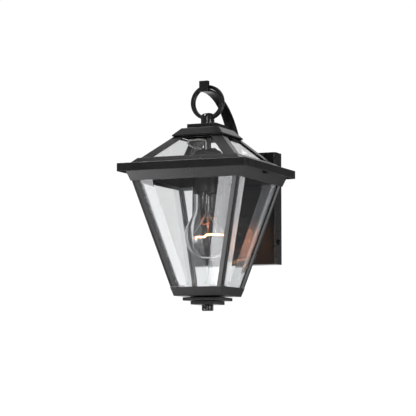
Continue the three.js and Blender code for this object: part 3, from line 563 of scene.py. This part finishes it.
outward = {"front": (0, -1, 0), "right": (1, 0, 0), "back": (0, 1, 0), "left": (-1, 0, 0)}
corner_clip = 0.004
bevel_extra = 0.0045  # the upright bevels are this much wider than the CAD pane's
top_raise = 0.0125  # the top bevel is this much narrower than the CAD pane's
least_tilt = 0.03  # a front face that leans sideways by more than this is an upright bevel
for side, direction in outward.items():
    out = Vector(direction)
    node = "pane_" + side
    shape = bmesh.new()
    shape.from_mesh(frame["nodes"][node].data)
    bmesh.ops.remove_doubles(shape, verts=shape.verts, dist=1e-6)
    bmesh.ops.dissolve_limit(shape, angle_limit=math.radians(0.2), verts=shape.verts, edges=shape.edges)
    shape.normal_update()
    raised = max((f for f in shape.faces if f.normal.dot(out) > 0.5), key=lambda f: f.calc_area())
    across = Vector((0, 0, 1)).cross(out)
    middle = raised.calc_center_median()
    lean = -raised.normal.z / raised.normal.dot(out)
    for vert in raised.verts:
        vert.co -= across * math.copysign(bevel_extra, (vert.co - middle).dot(across))
        if vert.co.z > middle.z:
            vert.co += Vector((0, 0, 1)) * top_raise + out * top_raise * lean
    bmesh.ops.bevel(
        shape, geom=list(raised.verts), offset=corner_clip, offset_type="OFFSET", segments=1, profile=0.5,
        affect="VERTICES", material=-1, clamp_overlap=True,
    )
    for face in shape.faces:
        sideways = abs(face.normal.dot(across))
        face.material_index = int(face.normal.dot(out) > 0.5 and sideways > least_tilt)
    pane = finished(node + "_glass", shape, pane_glass, "cage", [node], smooth=False)
    pane.data.materials.append(bevel_glass)

for side in outward:
    softened("roof_pane_" + side, 0.0002, pane_glass, segments=1)

# ---- Socket ----
# A spun steel cup painted black, round a porcelain socket with a threaded brass screw shell and a brass
# centre contact.
low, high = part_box("socket_cover")
cover_radius = (high.x - low.x) / 2
cover_foot = Vector((0, ring_centre.y, low.z))
cover_tall = high.z - low.z
cover_wall = 0.001
rod_hole = 0.0052
corners = [
    (cover_radius - cover_wall, 0, 0.0003), (cover_radius, 0, 0.0003), (cover_radius, cover_tall, 0.0035),
    (rod_hole, cover_tall, 0.0002), (rod_hole, cover_tall - cover_wall, 0.0002),
    (cover_radius - cover_wall, cover_tall - cover_wall, 0.0026),
]
shape = turned(rounded(corners, 0.001, 5), cover_foot)
evened(finished("socket_cover_piece", shape, black_paint, "fixture", ["socket_cover"]))

porcelain, tree = new_material("white glazed porcelain")
where = add_node(tree, "ShaderNodeTexCoord")
speck = add_node(
    tree, "ShaderNodeTexNoise", {"Vector": where.outputs["Object"], "Scale": 1000 / 2, "Detail": 2.0},
)
tone = add_node(tree, "ShaderNodeValToRGB", {"Fac": speck.outputs["Fac"]})
tone.color_ramp.elements[0].color = linear("#dcd6c8")
tone.color_ramp.elements[1].color = linear("#efeade")
skin = add_node(
    tree, "ShaderNodeBsdfPrincipled",
    {"Base Color": tone.outputs["Color"], "Roughness": 0.22, "Coat Weight": 0.6, "Coat Roughness": 0.06},
)
add_node(tree, "ShaderNodeOutputMaterial", {"Surface": skin.outputs["BSDF"]})
softened("socket_body", 0.0006, porcelain, segments=3)

brass, tree = new_material("stamped brass")
where = add_node(tree, "ShaderNodeTexCoord")
cloud = add_node(
    tree, "ShaderNodeTexNoise", {"Vector": where.outputs["Object"], "Scale": 1000 / 5, "Detail": 4.0},
)
tone = add_node(tree, "ShaderNodeValToRGB", {"Fac": cloud.outputs["Fac"]})
tone.color_ramp.elements[0].color = linear("#b48a3c")
tone.color_ramp.elements[1].color = linear("#d9b468")
dull = add_node(tree, "ShaderNodeMapRange", {"Value": cloud.outputs["Fac"], "To Min": 0.2, "To Max": 0.4})
skin = add_node(
    tree, "ShaderNodeBsdfPrincipled",
    {"Base Color": tone.outputs["Color"], "Roughness": dull.outputs["Result"], "Metallic": 1.0},
)
add_node(tree, "ShaderNodeOutputMaterial", {"Surface": skin.outputs["BSDF"]})
thread_pitch = 0.003629
thread_depth = 0.00045


def threaded(shape, foot, low_z, high_z, depth):
    """Presses a rolled screw thread into the round wall of a turned shape between two heights."""
    for vert in shape.verts:
        out = Vector((vert.co.x - foot.x, vert.co.y - foot.y, 0))
        if not low_z < vert.co.z < high_z or out.length < 1e-6:
            continue
        fade = min(1, (vert.co.z - low_z) / thread_pitch, (high_z - vert.co.z) / thread_pitch)
        lead = vert.co.z / thread_pitch - math.atan2(out.y, out.x) / math.tau
        vert.co += out.normalized() * depth * fade * math.sin(lead * math.tau)


low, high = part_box("socket_screw_shell")
shell_radius = (high.x - low.x) / 2
shell_wall = 0.0005
shell_foot = Vector((0, ring_centre.y, low.z))
shell_tall = high.z - low.z
rise = [shell_tall * i / 60 for i in range(61)]
outline = [(shell_radius - thread_depth, z) for z in rise]
outline += [(shell_radius - thread_depth - shell_wall, z) for z in reversed(rise)]
shape = turned(outline, shell_foot, steps=72)
threaded(shape, shell_foot, low.z + 0.001, high.z - 0.001, thread_depth * 0.6)
finished("socket_shell_piece", shape, brass, "fixture", ["socket_screw_shell"])
softened("socket_centre_contact", 0.0002, brass)

# ---- Lamp ----
# A clear blown bulb on a rolled aluminium screw base, with a black glass insulator under the tip
# contact. The screw thread is pressed into the base's wall.
lamp_glass = glass("clear blown lamp glass", "#fdfdfd", 0.01)
low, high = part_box("lamp_glass")
bulb_radius = (high.x - low.x) / 2
bulb_foot = Vector((0, ring_centre.y, low.z))
bulb_tall = high.z - low.z
neck_radius = 0.0146
bulb_wall = 0.0008
waist_radius = 0.0166
waist_length = 0.0177  # straight neck below the cover
waist_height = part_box("socket_cover")[0].z - low.z
shoulder = 0.38  # radians above the widest circle where the round part ends


def bulb_outline(inset, steps=28):
    """The bulb's side from its tip to its neck: a round bowl, a long sweep to the waist, then the neck."""
    radius = bulb_radius - inset
    points = []
    for i in range(steps + 1):
        a = -math.pi / 2 + (math.pi / 2 + shoulder) * i / steps
        points.append((radius * math.cos(a), bulb_radius + radius * math.sin(a)))
    points[0] = (0, points[0][1])
    a, b = Vector(points[-1]), Vector((waist_radius - inset, waist_height - waist_length))
    pull = (b.y - a.y) * 0.37
    pull_a, pull_b = a + Vector((-pull * math.tan(shoulder), pull)), b - Vector((0, pull))
    for i in range(1, steps + 1):
        t = i / steps
        spot = a * (1 - t) ** 3 + pull_a * 3 * t * (1 - t) ** 2 + pull_b * 3 * t * t * (1 - t) + b * t**3
        points.append(tuple(spot))
    points.append((waist_radius - inset, waist_height + 0.003))
    points.append((neck_radius - inset, bulb_tall))
    return points


shape = turned(bulb_outline(0) + bulb_outline(bulb_wall)[::-1], bulb_foot, steps=96)
finished("lamp_bulb", shape, lamp_glass, "lamp", ["lamp_glass"])

base_metal, tree = new_material("rolled aluminium")
where = add_node(tree, "ShaderNodeTexCoord")
cloud = add_node(
    tree, "ShaderNodeTexNoise", {"Vector": where.outputs["Object"], "Scale": 1000 / 3, "Detail": 3.0},
)
tone = add_node(tree, "ShaderNodeValToRGB", {"Fac": cloud.outputs["Fac"]})
tone.color_ramp.elements[0].color = linear("#b9bbbd")
tone.color_ramp.elements[1].color = linear("#dcdddf")
dull = add_node(tree, "ShaderNodeMapRange", {"Value": cloud.outputs["Fac"], "To Min": 0.22, "To Max": 0.36})
skin = add_node(
    tree, "ShaderNodeBsdfPrincipled",
    {"Base Color": tone.outputs["Color"], "Roughness": dull.outputs["Result"], "Metallic": 1.0},
)
add_node(tree, "ShaderNodeOutputMaterial", {"Surface": skin.outputs["BSDF"]})
low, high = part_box("lamp_base")
base_radius = (high.x - low.x) / 2
base_foot = Vector((0, ring_centre.y, low.z))
base_tall = high.z - low.z
base_wall = 0.0012
straight = [(base_tall - 0.003) * i / 60 for i in range(61)]
outline = [(base_radius - thread_depth, z) for z in straight]
outline += [(base_radius - 0.0022, base_tall - 0.0006), (base_radius - 0.0032, base_tall)]
outline += [(base_radius - 0.0036, base_tall - 0.0006)]
outline += [(base_radius - thread_depth - base_wall, z) for z in reversed(straight)]
shape = turned(outline, base_foot, steps=72)
threaded(shape, base_foot, low.z + 0.001, high.z - 0.0035, thread_depth)
finished("lamp_base_piece", shape, base_metal, "lamp", ["lamp_base"])

vitrite, tree = new_material("black vitrite glass")
where = add_node(tree, "ShaderNodeTexCoord")
flow = add_node(
    tree, "ShaderNodeTexNoise", {"Vector": where.outputs["Object"], "Scale": 1000 / 2, "Detail": 2.0},
)
tone = add_node(tree, "ShaderNodeValToRGB", {"Fac": flow.outputs["Fac"]})
tone.color_ramp.elements[0].color = linear("#0a0a0c")
tone.color_ramp.elements[1].color = linear("#1a1a1f")
skin = add_node(tree, "ShaderNodeBsdfPrincipled", {"Base Color": tone.outputs["Color"], "Roughness": 0.12})
add_node(tree, "ShaderNodeOutputMaterial", {"Surface": skin.outputs["BSDF"]})
softened("lamp_insulator", 0.0002, vitrite)

# ---- Lamp mount ----
# Inside the bulb a glass stem and rod carry two leads, with the coiled filament between them, and a
# support hook and curl above it.
low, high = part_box("lamp_stem")
stem_foot = Vector((0, ring_centre.y, low.z))
stem_tall = high.z - low.z
rod_length = 0.022
rod_radius = 0.0011
corners = [
    (0, 0, 0), (0.002, 0, 0.0012), (0.002, 0.0034, 0.001), (rod_radius, 0.0045, 0.0006),
    (rod_radius, rod_length - 0.001, 0.0004), (0.003, rod_length, 0.0006),
    (0.0032, rod_length + 0.010, 0.001), (0.0036, rod_length + 0.014, 0.001),
    (0.0042, stem_tall - 0.010, 0.003), (0.0128, stem_tall, 0.0003),
    (0, stem_tall, 0),
]
shape = turned(rounded(corners, 0.001, 4), stem_foot, steps=48)
finished("lamp_stem_piece", shape, lamp_glass, "lamp", ["lamp_stem"])


def tube(name, points, radius, sides=12, smooth_path=True):
    """A round wire, closed at both ends, as a bmesh: along a curve drawn by points, or straight between."""
    route = bpy.data.curves.new(name, "CURVE")
    route.dimensions = "3D"
    line = route.splines.new("NURBS" if smooth_path else "POLY")
    line.points.add(len(points) - 1)
    for spot, place in zip(line.points, points):
        spot.co = (*place, 1)
    line.use_endpoint_u = True
    line.order_u = 4
    line.resolution_u = 8
    route.bevel_depth = radius
    route.bevel_resolution = sides // 4
    route.use_fill_caps = True
    holder = bpy.data.objects.new(name, route)
    bpy.context.scene.collection.objects.link(holder)
    seen = bpy.context.evaluated_depsgraph_get()
    mesh = bpy.data.meshes.new_from_object(holder.evaluated_get(seen))
    bpy.data.objects.remove(holder)
    shape = bmesh.new()
    shape.from_mesh(mesh)
    bmesh.ops.remove_doubles(shape, verts=shape.verts, dist=1e-7)
    bmesh.ops.recalc_face_normals(shape, faces=shape.faces)
    return shape


lead_radius = 0.00045
for side, name in ((-1, "left"), (1, "right")):
    low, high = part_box("lamp_lead_" + name)
    end = low.x if side < 0 else high.x
    top, foot = high.z, low.z
    y = ring_centre.y
    points = [
        (side * 0.002, y, top), (side * 0.0024, y, top - 0.003), (side * 0.0034, y, top - 0.007),
        (side * 0.008, y, top - 0.014), (side * 0.014, y, foot + 0.008),
        (end - side * lead_radius, y, foot + 0.002), (end - side * lead_radius, y, foot),
    ]
    shape = tube("lead", points, lead_radius)
    finished("lamp_lead_" + name + "_piece", shape, zinc, "lamp", ["lamp_lead_" + name])


def glowing(name, inner_glow, outer_glow, reach, strength):
    """Glowing wire, brightest mid-lamp and cooler from reach out: lit coil, or painted glow on support wires.
    """
    material, tree = new_material(name)
    where = add_node(tree, "ShaderNodeTexCoord")
    parts = add_node(tree, "ShaderNodeSeparateXYZ", {"Vector": where.outputs["Object"]})
    far = add_node(tree, "ShaderNodeMath", {0: parts.outputs["X"]}, operation="ABSOLUTE")
    glow_fade = add_node(
        tree, "ShaderNodeMapRange",
        {"Value": far.outputs["Value"], "From Min": reach * 0.6, "From Max": reach},
    )
    glow = add_node(tree, "ShaderNodeValToRGB", {"Fac": glow_fade.outputs["Result"]})
    glow.color_ramp.elements[0].color = (*inner_glow, 1)
    glow.color_ramp.elements[1].color = (*outer_glow, 1)
    skin = add_node(
        tree, "ShaderNodeBsdfPrincipled",
        {
            "Base Color": linear("#4a4038"), "Roughness": 0.5, "Emission Color": glow.outputs["Color"],
            "Emission Strength": strength,
        },
    )
    add_node(tree, "ShaderNodeOutputMaterial", {"Surface": skin.outputs["BSDF"]})
    return material


hot_wire = glowing("glowing tungsten coil", (1.0, 0.50, 0.22), (1.0, 0.26, 0.06), 0.020, 9.0)
# The support hook and curl are no lamp: their faint orange glow is painted light, the filament's light caught
# on the wires.
painted_glow_wire = glowing("support wire with painted glow", (1.0, 0.22, 0.05), (1.0, 0.2, 0.04), 0.020, 1.1)
filament_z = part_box("lamp_filament")[1].z - 0.0008
coil_radius = 0.0009
coil_wire = 0.00035
bends = [  # along the coil's middle line: across, into the wall, and up from filament_z
    (-0.0172, 0, -0.0062), (-0.0150, -0.001, -0.0034), (-0.0090, -0.0025, -0.0036),
    (-0.0030, -0.003, -0.0040), (-0.0008, -0.003, -0.0012), (0.0060, -0.003, -0.0006),
    (0.0140, -0.0015, -0.0008), (0.0196, 0, -0.0014),
]


def along(points, t):
    """The place a share t of the way along a line through points."""
    spots = [Vector(p) for p in points]
    runs = [(b - a).length for a, b in zip(spots, spots[1:])]
    want = t * sum(runs)
    for a, b, run in zip(spots, spots[1:], runs):
        if want <= run:
            return a.lerp(b, want / run)
        want -= run
    return spots[-1]


coil_turns = 34
turn_steps = 10
points = []
for i in range(coil_turns * turn_steps + 1):
    middle = along(bends, i / (coil_turns * turn_steps))
    a = i / turn_steps * math.tau
    swing = Vector((0, coil_radius * math.cos(a), coil_radius * math.sin(a)))
    points.append(tuple(middle + swing + Vector((0, ring_centre.y, filament_z))))
shape = tube("coil", points, coil_wire, sides=4, smooth_path=False)
finished("lamp_filament_piece", shape, hot_wire, "lamp", ["lamp_filament"])
hook = [(0.001, 0, 0.0196), (0.0012, 0, 0.012), (0.0016, 0, 0.006), (0.0010, -0.002, 0.0002)]
hook = [tuple(Vector(p) + Vector((0, ring_centre.y, filament_z))) for p in hook]
hook_wire = 0.00035
shape = tube("hook", hook, hook_wire)
finished("lamp_support_hook", shape, painted_glow_wire, "lamp", [])
curl_wire = 0.0004
curl_mid = Vector((-0.0046, ring_centre.y, filament_z + 0.0172))
curl = [
    tuple(curl_mid + Vector((0.0036 * math.cos(a), 0.001 * math.cos(a), 0.0042 * math.sin(a))))
    for a in [math.radians(70 + 12 * k) for k in range(19)]
]
curl.append(tuple(curl_mid + Vector((0.0088, 0, -0.0022))))
shape = tube("curl", curl, curl_wire)
finished("lamp_support_curl", shape, painted_glow_wire, "lamp", [])

# ---- Filament glow ----
# A hidden warm spot at the filament stands in for the glow that a lit lamp throws on the wall plate.
# It stays where it is when the lamp or the cage moves.
plate_low, plate_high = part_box("wall_plate")
glow = bpy.data.lights.new("filament_glow", "SPOT")
glow.color = (1.0, 0.3, 0.1)
glow.energy = 1.3
glow.spot_size = math.radians(50)
glow.spot_blend = 1.0
glow.shadow_soft_size = 0.006
holder = bpy.data.objects.new("filament_glow", glow)
bpy.context.scene.collection.objects.link(holder)
holder.location = (0, ring_centre.y, filament_z)
lit_spot = Vector((plate_high.x * 0.8, plate_low.y, plate_low.z + (plate_high.z - plate_low.z) * 0.12))
holder.rotation_euler = (lit_spot - holder.location).to_track_quat("-Z", "Y").to_euler()
holder.visible_camera = holder.visible_glossy = holder.visible_transmission = False

# ---- Wires and connectors ----
# Two insulated wires run from the socket through the collar and a bushing into the wall plate, where
# twist-on connectors end them. The route's points are in millimetres until the wire is drawn.
def moulded(name, dark, light, roughness):
    """Moulded or extruded plastic: one colour with a faint mottle and a soft gloss."""
    material, tree = new_material(name)
    where = add_node(tree, "ShaderNodeTexCoord")
    mottle = add_node(
        tree, "ShaderNodeTexNoise", {"Vector": where.outputs["Object"], "Scale": 1000 / 4, "Detail": 3.0},
    )
    tone = add_node(tree, "ShaderNodeValToRGB", {"Fac": mottle.outputs["Fac"]})
    tone.color_ramp.elements[0].color = linear(dark)
    tone.color_ramp.elements[1].color = linear(light)
    skin = add_node(
        tree, "ShaderNodeBsdfPrincipled", {"Base Color": tone.outputs["Color"], "Roughness": roughness},
    )
    add_node(tree, "ShaderNodeOutputMaterial", {"Surface": skin.outputs["BSDF"]})
    return material


mm = 0.001
axis_y = ring_centre.y / mm
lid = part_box("socket_cover")[1].z / mm
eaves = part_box("wire_bushing")
wire_z = (eaves[0].z + eaves[1].z) / 2 / mm
wire_radius = 0.0012
pair = 3.0  # between the two wires' middles, in millimetres
cap_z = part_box("roof_cap")[0].z / mm
exit_radius = 14.5
white_exit = (4.0, axis_y - math.sqrt(exit_radius**2 - 4.0**2))
black_exit = (pair / 2, axis_y + exit_radius)
drop_z = wire_z - 46
wall_y = -12.45
slack = [
    (*white_exit, lid - 2.2), (*white_exit, lid + 7), (3, axis_y - 14, cap_z - 6),
    (-4, axis_y - 12, cap_z - 4), (-14, axis_y - 11, cap_z - 3.8), (-22, axis_y - 10, cap_z - 4.2),
    (-26, axis_y - 6, cap_z - 6.4), (-25, axis_y + 4, cap_z - 10), (-17, axis_y + 24, lid + 5),
]
direct = [(*black_exit, lid - 2.2), (*black_exit, lid + 3.5), (black_exit[0], black_exit[1] + 8, lid + 5)]


def through(x):
    """The level run of a wire through the collar, the bushing and the wall plate's front."""
    return [
        (x * 2.5, axis_y + 46, lid - 8), (x * 1.4, axis_y + 56.2, wire_z + 5), (x, axis_y + 69.2, wire_z),
        (x, axis_y + 76.2, wire_z), (x, axis_y + 90, wire_z), (x, -17.4, wire_z),
    ]


def smooth_route(points, step=1.5):
    """Points a step apart on the curve that passes through every given point without overshooting."""
    spots = [Vector(p) for p in points]
    spots = [spots[0] * 2 - spots[1]] + spots + [spots[-1] * 2 - spots[-2]]
    route = []
    for group in zip(spots, spots[1:], spots[2:], spots[3:]):
        knots = [0]
        for p, q in zip(group, group[1:]):
            knots.append(knots[-1] + (q - p).length ** 0.5)
        pieces = max(1, round((group[2] - group[1]).length / step))
        for i in range(pieces):
            t = knots[1] + (knots[2] - knots[1]) * i / pieces

            def blend(first, second, start, end):
                return (first * (end - t) + second * (t - start)) / (end - start)

            pairs = [blend(group[k], group[k + 1], knots[k], knots[k + 1]) for k in range(3)]
            arcs = [blend(pairs[k], pairs[k + 1], knots[k], knots[k + 2]) for k in range(2)]
            route.append(blend(arcs[0], arcs[1], knots[1], knots[2]))
    route.append(Vector(points[-1]))
    return route


connector = moulded("orange moulded connector", "#c4581a", "#d96a24", 0.45)
ribs = 12
rib_depth = 0.00045
for name, side, start, colours in (
    ("white", -1, slack, ("#dcd9d0", "#ecebe4")),
    ("black", 1, direct, ("#121212", "#1c1c1c")),
):
    insulation = moulded(name + " wire insulation", *colours, 0.35)
    in_plate = [
        (side * 10, wall_y, wire_z - 10), (side * 22, wall_y, wire_z - 30), (side * 24, wall_y, drop_z),
    ]
    route = smooth_route([*start, *through(side * pair / 2), *in_plate])
    shape = tube("wire", [tuple(p * mm) for p in route], wire_radius, sides=12, smooth_path=False)
    finished("wire_" + name + "_piece", shape, insulation, "fixture", ["wire_" + name])

    low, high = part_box("wire_connector_" + name)
    radius = (high.x - low.x) / 2
    centre = (low + high) / 2
    tall = high.z - low.z
    outline = [(0, 0, 0), (radius * 0.6, 0, 0.0012), (radius, tall * 0.58, 0.002), (radius, tall, 0.0004)]
    outline += [(wire_radius * 1.6, tall, 0.0003), (wire_radius * 1.6, tall - 0.003, 0), (0, tall - 0.003, 0)]
    shape = turned(rounded(outline, 0.001), (centre.x, centre.y, low.z), steps=72)
    for vert in shape.verts:
        out = Vector((vert.co.x - centre.x, vert.co.y - centre.y, 0))
        if out.length > radius * 0.55 and vert.co.z < high.z - 0.002:
            wave = 0.5 - 0.5 * math.cos(math.atan2(out.y, out.x) * ribs)
            vert.co -= out.normalized() * rib_depth * wave
    finished(
        "wire_connector_" + name + "_piece", shape, connector, "fixture",
        ["wire_connector_" + name],
    )

rubber = moulded("black moulded bushing", "#141414", "#1e1e1e", 0.55)
softened("wire_bushing", 0.0003, rubber)
green_coat = moulded("green-coated steel", "#1f6a34", "#2b8043", 0.35)
softened("ground_screw", 0.0003, green_coat)
